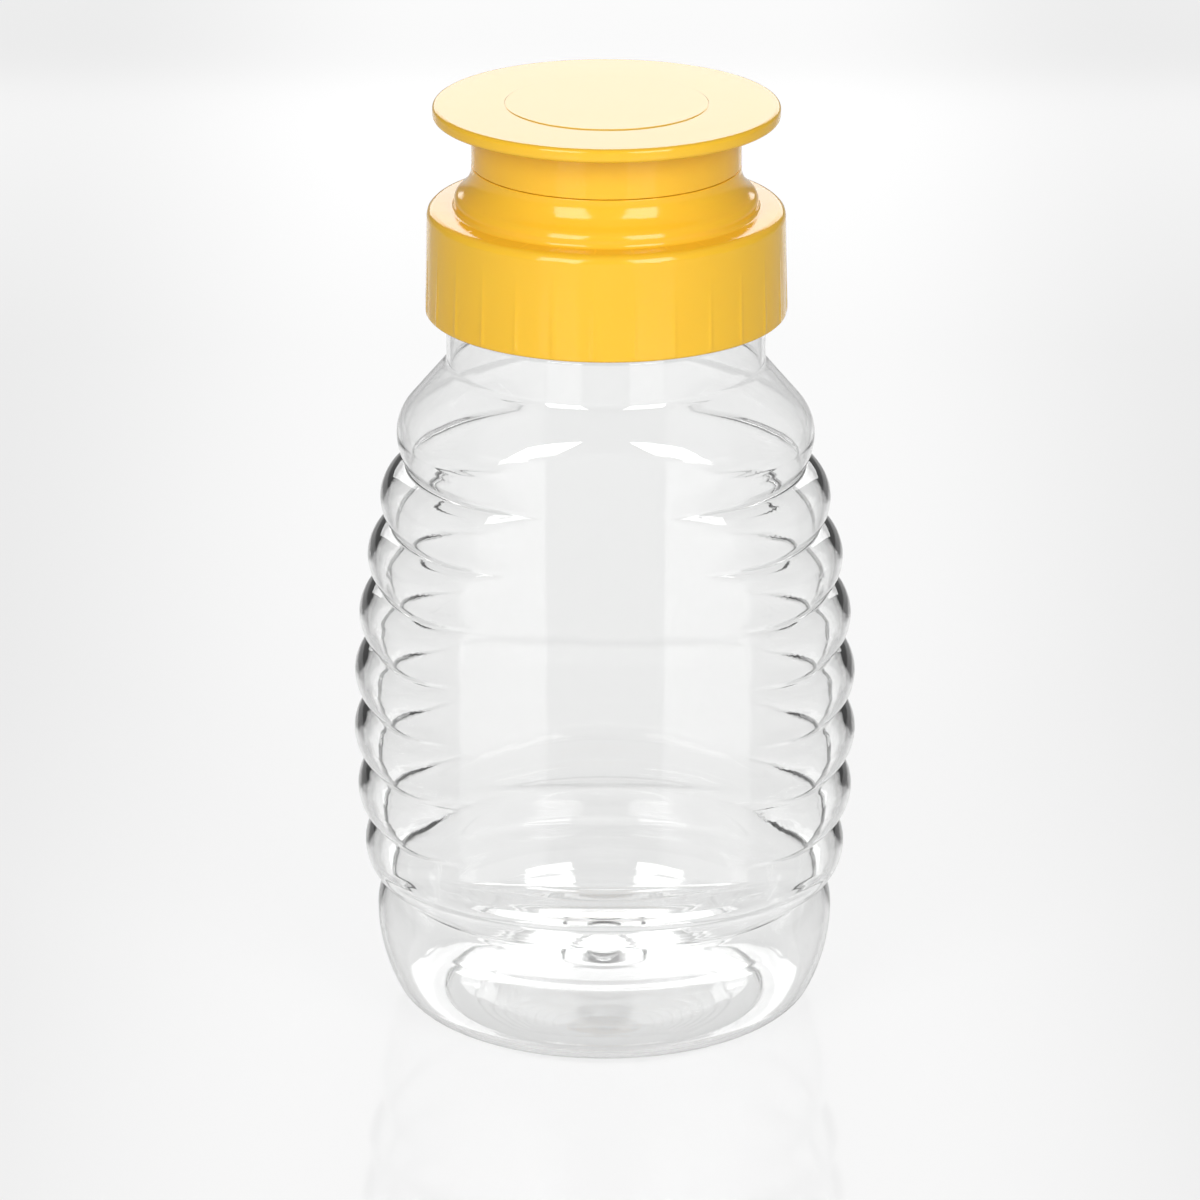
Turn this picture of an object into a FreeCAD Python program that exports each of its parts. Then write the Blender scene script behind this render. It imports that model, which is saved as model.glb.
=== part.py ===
import FreeCAD, Part
import math
import os

# A honey dispenser: a clear ribbed squeeze bottle closed by a screwed-on cap with a flip lid.
# Millimetres. Z is up, the front faces -Y, the origin is the centre of the base on the ground.

# Bottle: wall and base
WALL = 0.75                 # blown wall
FLOOR = 1.1                 # base is thicker than the wall
DOME_HEIGHT = 5.4           # push-up at the axis, above the ground
DOME_EDGE_Z = 1.5           # where the push-up meets the slope inside the foot
FOOT_SLOPE_W = 1.2
FOOT_W = 2.3                # flat ring that the bottle stands on
HEEL_IN = 7.8               # from the widest line of the base band in to the foot ring
BASE_CREST_Z = 14.1         # widest line of the base band
BASE_CURVE = 24.6           # radius of the side of the base band
GATE_R = 2.4                # moulding nub under the push-up
GATE_DROP = 0.6

# Bottle: the crests of the ribs lie on one barrel curve
BARREL_R = 36.51            # widest
BARREL_MID_Z = 44.1
BARREL_CURVE = 140.0
RIB_COUNT = 7
RIB_PITCH = 8.97
LOW_CREASE_RISE = 5.09      # lowest crease above the widest line of the base band
CREASE_DEPTH = 2.67         # below the mean of the crests on either side

# Bottle: shoulder and neck
SHOULDER_RISE = 4.62        # above the top crease
SHOULDER_SWELL = 0.15       # outside the barrel curve
SHOULDER_CURVE = 6.0
SHOULDER_SLOPE = 40.2       # degrees from upright
NECK_CURVE = 4.0
NECK_R = 22.85
NECK_HEIGHT = 18.82         # straight part, up to the rim
FINISH_WALL = 1.6           # the threaded neck is thicker than the blown wall
FINISH_HEIGHT = 12.1
FINISH_TAPER = 2.0
RIM_EDGE = 0.4

# Bottle: label panels, one in front and one behind
PANEL_SINK = 9.91           # middle of the panel, in from the barrel's widest line
PANEL_CURVE = 58.0          # plan radius
PANEL_RISE = 2.0            # top shelf above the widest line of the shoulder
PANEL_FOOT_RISE = 2.72      # low end at mid panel, above the crest of the lowest rib
SHELF_SLOPE = 0.34          # fall of the shelf below the panel, per mm outwards
PANEL_FILLET = 1.2          # hollow corners
PANEL_EDGE = 1.2            # edges above and below the panel

# Bottle: the lowest crease runs out towards the front and back
RUNOUT_R = 28.6             # plan radius of the patch that fills it
RUNOUT_SINK = 0.12          # top of the patch inside the crest of the lowest rib
RUNOUT_DROP = 0.78          # and below it
RUNOUT_LAP = 0.4            # plan curve inside the top of the patch
RUNOUT_LIFT = 0.5           # foot of the patch above the widest line of the base band

# Liner between rim and cap
LINER_T = 1.0
LINER_CLEAR = 0.4           # to the cap's bore

# Cap: skirt, ledge and deck
THREAD_ROOM = 1.15          # between the neck's wall and the cap's bore
SKIRT_WALL = 1.56           # at the ledge
SKIRT_FLARE = 0.28          # wider at the foot
SKIRT_HEIGHT = 15.4
SKIRT_EDGE = 0.7
DECK_T = 1.6
LIP_CLEAR = 0.2             # centring lip to the neck's bore
LIP_WALL = 1.0
LIP_DROP = 2.4

# Cap: bell-shaped tower
LEDGE_W = 3.86
TOWER_WALL = 1.5
BELL_FOOT_H = 0.4           # upright foot, then a round curve and a hollow one of equal height
BELL_CURVE_H = 2.5
BELL_SPREAD = 2.5           # foot wider than the top
BELL_TOP_H = 0.85
TRAY_SINK = 0.45            # floor of the top, below the parting line
TRAY_T = 1.3
COLLAR_CLEAR = 0.3          # to the lid's neck
COLLAR_WALL = 1.3
COLLAR_H = 1.35             # above the parting line

# Valve and its ring
FLANGE_R = 7.7
FLANGE_T = 1.0
FLANGE_SEAT = 1.5           # width of flange held between cap and ring
SLEEVE_CLEAR = 0.6
SLEEVE_T = 0.5
HEAD_T = 0.6
HEAD_RISE = 1.9             # rim of the slit head above the flange's underside
HEAD_DISH = 0.7
SLIT_LENGTH = 6.0
SLIT_WIDTH = 0.12
RING_T = 1.3
RING_CLEAR = 0.05           # ring to pocket wall
RING_SUNK = 0.1             # ring below the top of the boss

# Cap: boss round the valve
FLANGE_CLEAR = 0.3
BOSS_WALL = 1.4
SEAT_RISE = 0.8             # floor of the pocket above the tray

# Lid
PART_GAP = 0.1              # fine groove between tower and lid
LID_NECK_H = 6.65
DISC_REACH = 5.5            # disc beyond the lid's neck
DISC_T = 2.0
DISC_EDGE = 0.6
PLATEAU_R = 14.5            # low round step in the middle of the disc
PLATEAU_H = 0.2
LID_WALL = 1.5
LID_ROOF_T = 1.8
LID_CHAMFER = 0.15
SEAL_CLEAR = 0.25           # inner wall of the sealing ring to the boss
SEAL_WALL = 1.0
SEAL_LIFT = 1.4             # lower end of the ring above the tray
PLUG_IN = 1.0               # plug inside the rim of the slit head, which it holds shut
PLUG_WALL = 0.9
PLUG_CLEAR = 0.2

# Hinge at the back of the parting line
WEB_W = 9.0
WEB_T = 0.35
WEB_H = 3.4
STRAP_GAP = 0.9             # between film and strap
STRAP_W = 2.0
STRAP_T = 0.7
STRAP_FOOT = 1.2
STRAP_H = 6.0
STRAP_BOW = 0.8
LAND_MARGIN = 0.6           # pad beyond the strap
LAND_OUT = 0.35             # face of the pad outside the lid's neck
LAND_DROP = 3.85            # pad below the parting line

AXIS = FreeCAD.Vector(0, 0, 1)
ORIGIN = FreeCAD.Vector(0, 0, 0)


def barrel_r(z):
    """Radius of the barrel curve at height z."""
    return BARREL_R - BARREL_CURVE + math.sqrt(BARREL_CURVE ** 2 - (z - BARREL_MID_Z) ** 2)


# Bottle: radii and heights that follow
BASE_CREST_R = barrel_r(BASE_CREST_Z)
HEEL_R = BASE_CREST_R - HEEL_IN
FOOT_IN_R = HEEL_R - FOOT_W
DOME_R = FOOT_IN_R - FOOT_SLOPE_W
LOW_CREASE_Z = BASE_CREST_Z + LOW_CREASE_RISE
LOW_CREST_Z = LOW_CREASE_Z + RIB_PITCH / 2
LOW_CREST_R = barrel_r(LOW_CREST_Z)
TOP_CREASE_Z = LOW_CREASE_Z + RIB_COUNT * RIB_PITCH
SHOULDER_Z = TOP_CREASE_Z + SHOULDER_RISE
SHOULDER_R = barrel_r(SHOULDER_Z) + SHOULDER_SWELL
PANEL_DEPTH = BARREL_R - PANEL_SINK
PANEL_TOP_Z = SHOULDER_Z + PANEL_RISE
PANEL_LOW_Z = LOW_CREST_Z + PANEL_FOOT_RISE

# Bottle: slope of the shoulder, from its brow to the hollow curve at the neck
BROW_TURN = math.radians(SHOULDER_SLOPE)
BROW_R = SHOULDER_R - SHOULDER_CURVE * (1 - math.cos(BROW_TURN))
BROW_Z = SHOULDER_Z + SHOULDER_CURVE * math.sin(BROW_TURN)
CORNER_Z = BROW_Z + (BROW_R - NECK_R) / math.tan(BROW_TURN)
NECK_LOW_Z = CORNER_Z + NECK_CURVE * math.tan(BROW_TURN / 2)
NECK_BORE_R = NECK_R - FINISH_WALL
RIM_Z = NECK_LOW_Z + NECK_HEIGHT

# Cap: radii and heights that follow
BORE_R = NECK_R + THREAD_ROOM
SKIRT_TOP_R = BORE_R + SKIRT_WALL
SKIRT_LOW_R = SKIRT_TOP_R + SKIRT_FLARE
DECK_LOW_Z = RIM_Z + LINER_T
LEDGE_Z = DECK_LOW_Z + DECK_T
SKIRT_LOW_Z = LEDGE_Z - SKIRT_HEIGHT
LIP_R = NECK_BORE_R - LIP_CLEAR
TOWER_FOOT_R = SKIRT_TOP_R - LEDGE_W
TOWER_TOP_R = TOWER_FOOT_R - BELL_SPREAD
BELL_MID_R = (TOWER_FOOT_R + TOWER_TOP_R) / 2
BELL_LOW_Z = LEDGE_Z + BELL_FOOT_H
BELL_MID_Z = BELL_LOW_Z + BELL_CURVE_H
BELL_TOP_Z = BELL_MID_Z + BELL_CURVE_H
SEAT_Z = BELL_TOP_Z + BELL_TOP_H
TRAY_Z = SEAT_Z - TRAY_SINK
COLLAR_R = TOWER_TOP_R - LID_WALL - COLLAR_CLEAR
COLLAR_TOP_Z = SEAT_Z + COLLAR_H

# Valve, ring and boss: radii and heights that follow
POCKET_R = FLANGE_R + FLANGE_CLEAR
POCKET_Z = TRAY_Z + SEAT_RISE
BOSS_R = POCKET_R + BOSS_WALL
BOSS_TOP_Z = POCKET_Z + FLANGE_T + RING_T + RING_SUNK
ORIFICE_R = FLANGE_R - FLANGE_SEAT
SLEEVE_R = ORIFICE_R - SLEEVE_CLEAR
HEAD_Z = POCKET_Z + HEAD_RISE

# Lid: radii and heights that follow
LID_LOW_Z = SEAT_Z + PART_GAP
DISC_LOW_Z = LID_LOW_Z + LID_NECK_H
LID_TOP_Z = DISC_LOW_Z + DISC_T
LID_ROOF_Z = LID_TOP_Z - LID_ROOF_T
DISC_R = TOWER_TOP_R + DISC_REACH
SEAL_R = BOSS_R + SEAL_CLEAR
SEAL_LOW_Z = TRAY_Z + SEAL_LIFT
PLUG_R = SLEEVE_R - PLUG_IN

# Hinge: places that follow
HINGE_Z = SEAT_Z + PART_GAP / 2
STRAP_X = WEB_W / 2 + STRAP_GAP + STRAP_W / 2
LAND_W = 2 * (STRAP_X + STRAP_W / 2 + LAND_MARGIN)
LAND_Y = TOWER_TOP_R + LAND_OUT
LAND_IN_Y = math.sqrt((TOWER_TOP_R - TOWER_WALL) ** 2 - (LAND_W / 2) ** 2)
LAND_LOW_Z = SEAT_Z - LAND_DROP


def at(r, z):
    """A point of a half profile, r out from the axis."""
    return FreeCAD.Vector(r, 0, z)


def polar(centre, radius, degrees):
    """A point on a circle in the profile plane."""
    turn = math.radians(degrees)
    return centre + FreeCAD.Vector(radius * math.cos(turn), 0, radius * math.sin(turn))


def angle(centre, point):
    """The direction from centre to point, in degrees."""
    return math.degrees(math.atan2(point.z - centre.z, point.x - centre.x))


def lines(*points):
    """Straight edges through (r, z) points."""
    return list(Part.makePolygon([at(*p) for p in points]).Edges)


def spin(edges):
    """The solid swept by a closed half profile."""
    wire = Part.Wire(Part.__sortEdges__(edges))
    return Part.Face(wire).revolve(ORIGIN, AXIS, 360)


def ring(r_in, r_out, z_low, z_high):
    """A plain ring, or a disc when r_in is 0."""
    return spin(lines((r_in, z_low), (r_out, z_low), (r_out, z_high), (r_in, z_high), (r_in, z_low)))


def box(x, y_low, y_high, z_low, z_high):
    """A block centred across X, with x as its full width."""
    corner = FreeCAD.Vector(-x / 2, y_low, z_low)
    return Part.makeBox(x, y_high - y_low, z_high - z_low, corner)


def rings_near(shape, r, z):
    """The circular edges about the axis that run nearest to radius r and height z."""
    found = []
    nearest = math.inf
    for edge in shape.Edges:
        if edge.Length < 1 or not isinstance(edge.Curve, Part.Circle):
            continue
        centre = edge.Curve.Center
        if math.hypot(centre.x, centre.y) > 0.01:
            continue
        gap = math.hypot(edge.Curve.Radius - r, centre.z - z)
        if gap < nearest - 0.001:
            nearest = gap
            found = []
        if gap < nearest + 0.001:
            found.append(edge)
    return found


def round_rings(shape, radius, *places):
    """Fillet the circular edges that run through the given (r, z) places."""
    chosen = [edge for r, z in places for edge in rings_near(shape, r, z)]
    return shape.makeFillet(radius, chosen)


def upright_arc(crest, end):
    """Centre and radius of the arc that leaves the crest upright and runs to end."""
    depth = crest.x - end.x
    rise = end.z - crest.z
    radius = (rise * rise + depth * depth) / (2 * depth)
    return at(crest.x - radius, crest.z), radius


def bottle_arcs():
    """The side of the bottle from heel to neck, as (centre, radius, start, end, bulge) arcs."""
    # base band: one long curve, and a heel curve tangent to it and to the ground
    band = at(BASE_CREST_R - BASE_CURVE, BASE_CREST_Z)
    reach = HEEL_R - band.x
    spare = BASE_CURVE ** 2 - reach ** 2 - BASE_CREST_Z ** 2
    heel_radius = spare / (2 * (BASE_CURVE - BASE_CREST_Z))
    heel = at(HEEL_R, heel_radius)
    join = angle(band, heel)
    arcs = [(heel, heel_radius, -90, join, 1), (band, BASE_CURVE, join, 0, 1)]

    # crests from the base band to the shoulder, and the creases between them
    heights = [LOW_CREST_Z + i * RIB_PITCH for i in range(RIB_COUNT)]
    crests = [BASE_CREST_R] + [barrel_r(z) for z in heights] + [SHOULDER_R]
    creases = []
    for i in range(RIB_COUNT + 1):
        r = (crests[i] + crests[i + 1]) / 2 - CREASE_DEPTH
        creases.append(at(r, LOW_CREASE_Z + i * RIB_PITCH))

    centre, radius = upright_arc(at(BASE_CREST_R, BASE_CREST_Z), creases[0])
    arcs.append((centre, radius, 0, angle(centre, creases[0]), 1))
    for i in range(RIB_COUNT):
        crest = at(crests[i + 1], heights[i])
        circle = Part.Arc(creases[i], crest, creases[i + 1]).toShape().Curve
        centre = circle.Center
        arcs.append((centre, circle.Radius, angle(centre, creases[i]), angle(centre, creases[i + 1]), 1))

    # shoulder: round over, slope, and a hollow curve into the neck
    centre, radius = upright_arc(at(SHOULDER_R, SHOULDER_Z), creases[-1])
    arcs.append((centre, radius, angle(centre, creases[-1]), 0, 1))
    over = at(SHOULDER_R - SHOULDER_CURVE, SHOULDER_Z)
    arcs.append((over, SHOULDER_CURVE, 0, SHOULDER_SLOPE, 1))
    hollow = at(NECK_R + NECK_CURVE, NECK_LOW_Z)
    arcs.append((hollow, NECK_CURVE, 180 + SHOULDER_SLOPE, 180, -1))
    return arcs


def side_edges(arcs, inset):
    """Edges along the arcs, moved inwards by inset, with creases kept at an even wall."""
    edges = []
    last = None
    crease = None
    for centre, radius, start, end, bulge in arcs:
        moved = radius - bulge * inset
        first = polar(centre, moved, start)
        if last is not None and last.distanceToPoint(first) > 1e-6:
            outer = polar(centre, radius, start)
            if crease.distanceToPoint(outer) < 1e-6 and inset > 0:
                aim = (last + first) / 2 - outer
                middle = outer + aim * (inset / aim.Length)
                edges.append(Part.Arc(last, middle, first).toShape())
            else:
                edges.append(Part.makeLine(last, first))
        middle = polar(centre, moved, (start + end) / 2)
        last = polar(centre, moved, end)
        crease = polar(centre, radius, end)
        edges.append(Part.Arc(first, middle, last).toShape())
    return edges, last


def panel_cut(grow):
    """Everything in front of the front label panel, grown by grow for the inner face."""
    centre_y = PANEL_CURVE - PANEL_DEPTH
    far = 2 * BASE_CREST_R
    slab = box(2 * far, -far, 0, 0, RIM_Z)
    core = Part.makeCylinder(PANEL_CURVE - grow, RIM_Z, FreeCAD.Vector(0, centre_y, 0))
    low = PANEL_LOW_Z - grow * math.hypot(1, SHELF_SLOPE)
    low_at_axis = low + SHELF_SLOPE * PANEL_DEPTH
    low_at_far = low_at_axis - SHELF_SLOPE * far
    high = PANEL_TOP_Z + grow
    band = spin(lines((0, low_at_axis), (far, low_at_far), (far, high), (0, high), (0, low_at_axis)))
    cut = slab.cut(core).common(band)
    walls = [face for face in cut.Faces if isinstance(face.Surface, Part.Cylinder)
             and abs(face.Surface.Radius - PANEL_CURVE + grow) < 0.01]
    corners = [edge for edge in walls[0].Edges if abs(edge.CenterOfMass.x) < 1]
    return cut.makeFillet(PANEL_FILLET + grow, corners)


def runout_patch(inset):
    """Smooth band that fills the lowest crease towards the front."""
    low_z = BASE_CREST_Z + RUNOUT_LIFT
    high_r = LOW_CREST_R - RUNOUT_SINK
    high_z = LOW_CREST_Z - RUNOUT_DROP
    face = lines((0, low_z), (BASE_CREST_R - inset, low_z), (high_r - inset, high_z), (0, high_z),
                 (0, low_z))
    centre = FreeCAD.Vector(0, RUNOUT_R + RUNOUT_LAP - high_r, 0)
    return spin(face).common(Part.makeCylinder(RUNOUT_R - inset, RIM_Z, centre))


def both_sides(shape):
    """A front shape with its twin at the back."""
    return [shape, shape.mirror(ORIGIN, FreeCAD.Vector(0, 1, 0))]


def add_panels(body, inset):
    """Front and back label panels, with the ribs run out below them."""
    for cut, fill in zip(both_sides(panel_cut(inset)), both_sides(runout_patch(inset))):
        body = body.fuse(fill).cut(cut)
    return body


def round_panels(body):
    """Round the outer edges above and below the label panels."""
    shelf_z = PANEL_LOW_Z - SHELF_SLOPE * (LOW_CREST_R - PANEL_DEPTH)
    lip = rings_near(body, SHOULDER_R, PANEL_TOP_Z)
    shelf = rings_near(body, LOW_CREST_R, shelf_z)
    return body.makeFillet(PANEL_EDGE, lip + shelf)


def dome_arc(top_z, edge_z):
    """Half profile of the push-up, level at the axis."""
    drop = top_z - edge_z
    radius = (DOME_R ** 2 + drop ** 2) / (2 * drop)
    turn = math.degrees(math.asin(DOME_R / radius))
    middle = polar(at(0, top_z - radius), radius, 90 - turn / 2)
    return Part.Arc(at(0, top_z), middle, at(DOME_R, edge_z)).toShape()


def make_bottle():
    """Clear blown bottle: an outer body less an inner one."""
    arcs = bottle_arcs()

    # outer body
    edges, neck = side_edges(arcs, 0)
    edges += lines((neck.x, neck.z), (NECK_R, RIM_Z - RIM_EDGE), (NECK_R - RIM_EDGE, RIM_Z), (0, RIM_Z),
                   (0, DOME_HEIGHT))
    edges.append(dome_arc(DOME_HEIGHT, DOME_EDGE_Z))
    edges += lines((DOME_R, DOME_EDGE_Z), (FOOT_IN_R, 0), (HEEL_R, 0))
    outer = spin(edges)

    # inner body, open at the top
    edges, neck = side_edges(arcs, WALL)
    finish_z = RIM_Z - FINISH_HEIGHT
    edges += lines((neck.x, neck.z), (neck.x, finish_z - FINISH_TAPER), (NECK_BORE_R, finish_z),
                   (NECK_BORE_R, RIM_Z + FLOOR), (0, RIM_Z + FLOOR), (0, DOME_HEIGHT + FLOOR))
    edges.append(dome_arc(DOME_HEIGHT + FLOOR, DOME_EDGE_Z + FLOOR))
    edges += lines((DOME_R, DOME_EDGE_Z + FLOOR), (FOOT_IN_R + FLOOR / 2, WALL), (HEEL_R, WALL))
    inner = spin(edges)

    outer = round_panels(add_panels(outer, 0))
    inner = add_panels(inner, WALL)

    nub = ring(0, GATE_R, DOME_HEIGHT - GATE_DROP, DOME_HEIGHT + FLOOR / 2)
    return outer.cut(inner).fuse(nub).removeSplitter()


def bell_profile(inset):
    """Round curve under a hollow one, both upright where they end, moved inwards by inset."""
    middle = at(BELL_MID_R, BELL_MID_Z)
    lower, radius = upright_arc(at(TOWER_FOOT_R, BELL_LOW_Z), middle)
    upper = at(TOWER_TOP_R + radius, BELL_TOP_Z)
    turn = angle(lower, middle)
    arcs = [(lower, radius, 0, turn, 1), (upper, radius, 180 + turn, 180, -1)]
    edges, top = side_edges(arcs, inset)
    return edges, edges[0].Vertexes[0].Point, top


def hinge_land(z_low, z_high):
    """Flat pad at the back that carries the hinge."""
    return box(LAND_W, LAND_IN_Y, LAND_Y, z_low, z_high)


def make_screw_cap():
    """Skirt, ledge, bell tower, collar, tray and valve seat in one moulding."""
    edges, foot, top = bell_profile(0)
    edges += lines((top.x, top.z), (TOWER_TOP_R, SEAT_Z), (COLLAR_R, SEAT_Z), (COLLAR_R, COLLAR_TOP_Z),
                   (COLLAR_R - COLLAR_WALL, COLLAR_TOP_Z), (COLLAR_R - COLLAR_WALL, TRAY_Z),
                   (BOSS_R, TRAY_Z), (BOSS_R, BOSS_TOP_Z), (0, BOSS_TOP_Z), (0, SKIRT_LOW_Z),
                   (SKIRT_LOW_R, SKIRT_LOW_Z), (SKIRT_TOP_R, LEDGE_Z), (TOWER_FOOT_R, LEDGE_Z),
                   (foot.x, foot.z))
    body = spin(edges)
    body = round_rings(body, SKIRT_EDGE, (SKIRT_TOP_R, LEDGE_Z))

    body = body.fuse(hinge_land(LAND_LOW_Z, SEAT_Z))

    edges, foot, top = bell_profile(TOWER_WALL)
    edges += lines((top.x, top.z), (top.x, TRAY_Z - TRAY_T), (0, TRAY_Z - TRAY_T), (0, SKIRT_LOW_Z),
                   (LIP_R - LIP_WALL, SKIRT_LOW_Z), (LIP_R - LIP_WALL, DECK_LOW_Z), (foot.x, DECK_LOW_Z),
                   (foot.x, foot.z))
    hollow = spin(edges).common(ring(0, BORE_R, SKIRT_LOW_Z, TRAY_Z - TRAY_T))
    neck_room = ring(LIP_R, BORE_R, SKIRT_LOW_Z - 1, DECK_LOW_Z)
    below_lip = ring(0, BORE_R, SKIRT_LOW_Z - 1, DECK_LOW_Z - LIP_DROP)
    pocket = ring(0, POCKET_R, POCKET_Z, BOSS_TOP_Z + 1)
    orifice = ring(0, ORIFICE_R, TRAY_Z - TRAY_T - 1, BOSS_TOP_Z)
    for room in (hollow, neck_room, below_lip, pocket, orifice):
        body = body.cut(room)
    return body.removeSplitter()


def make_seal_liner():
    """Ring-shaped wad squeezed between the rim and the deck."""
    return ring(NECK_BORE_R, BORE_R - LINER_CLEAR, RIM_Z, DECK_LOW_Z)


def hanging_arc(r, z, sag):
    """Half profile of a shallow dish, level at the axis."""
    radius = (r * r + sag * sag) / (2 * sag)
    turn = math.degrees(math.asin(r / radius))
    middle = polar(at(0, z - sag + radius), radius, turn / 2 - 90)
    return Part.Arc(at(r, z), middle, at(0, z - sag)).toShape()


def make_silicone_valve():
    """Flange, rolling sleeve and dished head with a cross slit."""
    low = POCKET_Z
    inner_r = SLEEVE_R - SLEEVE_T
    dish_z = HEAD_Z - HEAD_DISH
    under_z = HEAD_Z - HEAD_T
    edges = lines((SLEEVE_R, low), (FLANGE_R, low), (FLANGE_R, low + FLANGE_T), (SLEEVE_R, low + FLANGE_T),
                  (SLEEVE_R, HEAD_Z))
    edges.append(hanging_arc(SLEEVE_R, HEAD_Z, HEAD_DISH))
    edges += lines((0, dish_z), (0, dish_z - HEAD_T))
    edges.append(hanging_arc(inner_r, under_z, HEAD_DISH))
    edges += lines((inner_r, under_z), (inner_r, low + SLEEVE_T), (SLEEVE_R, low))
    valve = spin(edges)
    slit = box(SLIT_LENGTH, -SLIT_WIDTH / 2, SLIT_WIDTH / 2, POCKET_Z, BOSS_TOP_Z)
    cross = slit.copy()
    cross.rotate(ORIGIN, AXIS, 90)
    return valve.cut(slit).cut(cross)


def make_valve_retainer():
    """Ring pressed into the pocket over the valve's flange."""
    z = POCKET_Z + FLANGE_T
    body = ring(ORIFICE_R, POCKET_R - RING_CLEAR, z, z + RING_T)
    return round_rings(body, RING_T / 3, (ORIFICE_R, z + RING_T))


def make_flip_lid():
    """Disc with a low step on top, neck, sealing ring and plug in one moulding."""
    neck_in = TOWER_TOP_R - LID_WALL
    plateau_z = LID_TOP_Z + PLATEAU_H
    body = spin(lines(
        (0, LID_ROOF_Z), (neck_in, LID_ROOF_Z), (neck_in, LID_LOW_Z),
        (TOWER_TOP_R - LID_CHAMFER, LID_LOW_Z), (TOWER_TOP_R, LID_LOW_Z + LID_CHAMFER),
        (TOWER_TOP_R, DISC_LOW_Z), (DISC_R, DISC_LOW_Z), (DISC_R, LID_TOP_Z), (PLATEAU_R, LID_TOP_Z),
        (PLATEAU_R - PLATEAU_H, plateau_z), (0, plateau_z), (0, LID_ROOF_Z)))
    body = round_rings(body, DISC_EDGE, (DISC_R, DISC_LOW_Z), (DISC_R, LID_TOP_Z))
    body = body.fuse(hinge_land(LID_LOW_Z, DISC_LOW_Z))
    body = body.cut(ring(0, neck_in, LID_LOW_Z, LID_ROOF_Z))
    body = body.fuse(ring(SEAL_R, SEAL_R + SEAL_WALL, SEAL_LOW_Z, LID_ROOF_Z))
    body = body.fuse(ring(PLUG_R - PLUG_WALL, PLUG_R, HEAD_Z + PLUG_CLEAR, LID_ROOF_Z))
    return body.removeSplitter()


def make_hinge_web():
    """Thin film on the back faces of both pads, across the parting line."""
    return box(WEB_W, LAND_Y, LAND_Y + WEB_T, HINGE_Z - WEB_H / 2, HINGE_Z + WEB_H / 2)


def make_hinge_strap(side):
    """Bowed spring strap beside the film, fixed to a pad at each end."""
    half = STRAP_H / 2
    y = LAND_Y

    def place(out, up):
        return FreeCAD.Vector(side * STRAP_X - STRAP_W / 2, y + out, HINGE_Z + up)

    inner = half - STRAP_FOOT
    edges = [
        Part.makeLine(place(0, -half), place(0, -inner)),
        Part.Arc(place(0, -inner), place(STRAP_BOW, 0), place(0, inner)).toShape(),
        Part.makeLine(place(0, inner), place(0, half)),
        Part.makeLine(place(0, half), place(STRAP_T, half)),
        Part.Arc(place(STRAP_T, half), place(STRAP_BOW + STRAP_T, 0), place(STRAP_T, -half)).toShape(),
        Part.makeLine(place(STRAP_T, -half), place(0, -half)),
    ]
    face = Part.Face(Part.Wire(edges))
    return face.extrude(FreeCAD.Vector(STRAP_W, 0, 0))


PIECES = {
    "bottle": make_bottle(),
    "seal_liner": make_seal_liner(),
    "screw_cap": make_screw_cap(),
    "silicone_valve": make_silicone_valve(),
    "valve_retainer": make_valve_retainer(),
    "flip_lid": make_flip_lid(),
    "hinge_web": make_hinge_web(),
    "hinge_strap_left": make_hinge_strap(-1),
    "hinge_strap_right": make_hinge_strap(1),
}

os.makedirs("parts", exist_ok=True)
for node, shape in PIECES.items():
    shape.exportStep("parts/" + node + ".step")
    span = shape.BoundBox
    print(node, "solids", len(shape.Solids), "valid", shape.isValid(),
          "size %.2f %.2f %.2f" % (span.XLength, span.YLength, span.ZLength),
          "z %.2f to %.2f" % (span.ZMin, span.ZMax), "volume %.1f" % shape.Volume)
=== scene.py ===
# %% [markdown]
# # A clear honey bottle with a yellow flip cap
# This lesson dresses a measured model of a squeeze bottle for honey. The measured solids
# give every piece its place; here each one gets the skin that the eye sees.
# Lengths are written in millimetres, because that is how the mould maker thinks, and each
# finished mesh is scaled down once to Blender's metres.

# %% Load the measured model
import bmesh
import bpy
import math
from mathutils import Matrix, Vector


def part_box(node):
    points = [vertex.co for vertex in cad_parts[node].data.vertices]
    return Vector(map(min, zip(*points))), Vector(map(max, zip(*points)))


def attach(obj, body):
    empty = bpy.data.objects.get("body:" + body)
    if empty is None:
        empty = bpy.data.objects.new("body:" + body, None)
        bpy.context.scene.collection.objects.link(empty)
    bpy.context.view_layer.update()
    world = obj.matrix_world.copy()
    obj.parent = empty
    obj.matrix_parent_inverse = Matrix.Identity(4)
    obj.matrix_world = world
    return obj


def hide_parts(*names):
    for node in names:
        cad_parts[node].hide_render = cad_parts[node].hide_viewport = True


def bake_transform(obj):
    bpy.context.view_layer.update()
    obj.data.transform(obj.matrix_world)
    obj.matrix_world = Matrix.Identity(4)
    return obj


MM = 0.001
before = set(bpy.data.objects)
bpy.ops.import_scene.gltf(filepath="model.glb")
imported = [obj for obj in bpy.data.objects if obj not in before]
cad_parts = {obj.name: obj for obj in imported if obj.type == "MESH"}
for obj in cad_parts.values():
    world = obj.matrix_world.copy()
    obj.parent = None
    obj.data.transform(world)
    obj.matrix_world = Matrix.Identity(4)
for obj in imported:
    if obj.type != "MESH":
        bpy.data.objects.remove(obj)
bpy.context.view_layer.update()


def box_mm(node):
    """Lowest and highest corner of a measured solid, in millimetres."""
    low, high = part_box(node)
    return low / MM, high / MM


bottle_low, bottle_high = box_mm("bottle")
cap_low, cap_high = box_mm("screw_cap")
lid_low, lid_high = box_mm("flip_lid")
print("bottle", [round(v, 2) for v in bottle_high], "cap", [round(v, 2) for v in cap_high])

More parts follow.
